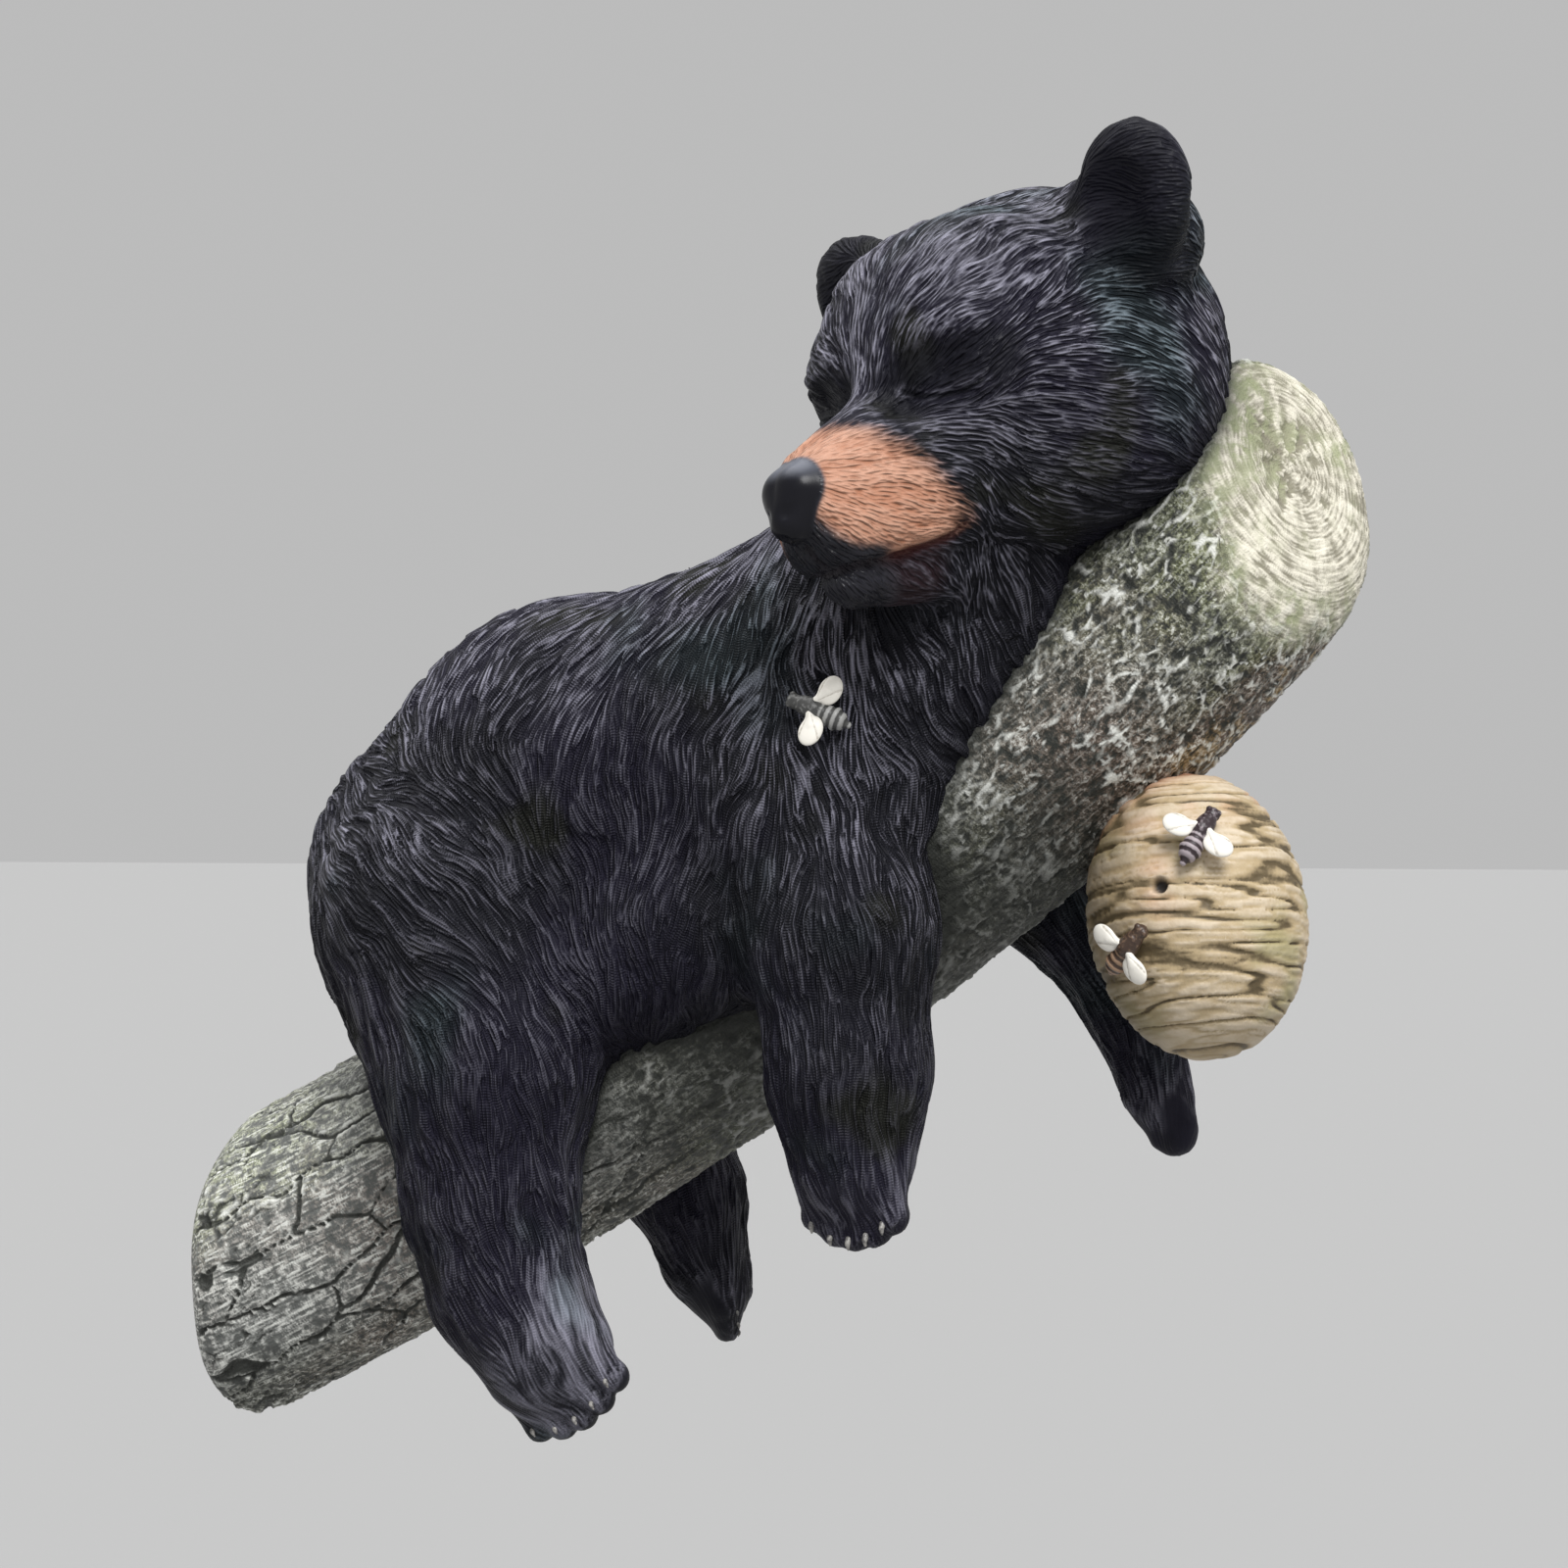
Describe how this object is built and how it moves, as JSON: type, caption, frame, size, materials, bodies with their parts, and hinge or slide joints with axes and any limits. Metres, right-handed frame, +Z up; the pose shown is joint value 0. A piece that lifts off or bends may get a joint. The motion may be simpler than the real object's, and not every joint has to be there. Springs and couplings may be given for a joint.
{
  "type": "bear cub on branch ornament",
  "caption": "Painted resin bear cub asleep over a sloping branch, with a hanging beehive and small bees; the branch has a flat mounting face.",
  "frame": {"origin": "centre of the branch's flat mounting face at its lower end", "axes": "+Z up; the mounting face looks along -X and the branch rises towards +X; the cub's face looks towards -Y"},
  "size_m": [0.3009, 0.163, 0.3266],
  "materials": {
    "fur": "painted resin, near black, dry-brushed grey on the raised strands",
    "bark": "painted resin, grey bark with white raised edges, dark cracks and green moss",
    "hive": "painted resin, straw with brown grooves",
    "bee_body": "painted resin, dark brown and grey bands",
    "bee_wing": "painted resin, white"
  },
  "bodies": {
    "root": {"cub_on_branch": "fur", "bee_chest": "bee_body", "bee_hive_top": "bee_body", "bee_hive_side": "bee_body"}
  },
  "joints": []
}
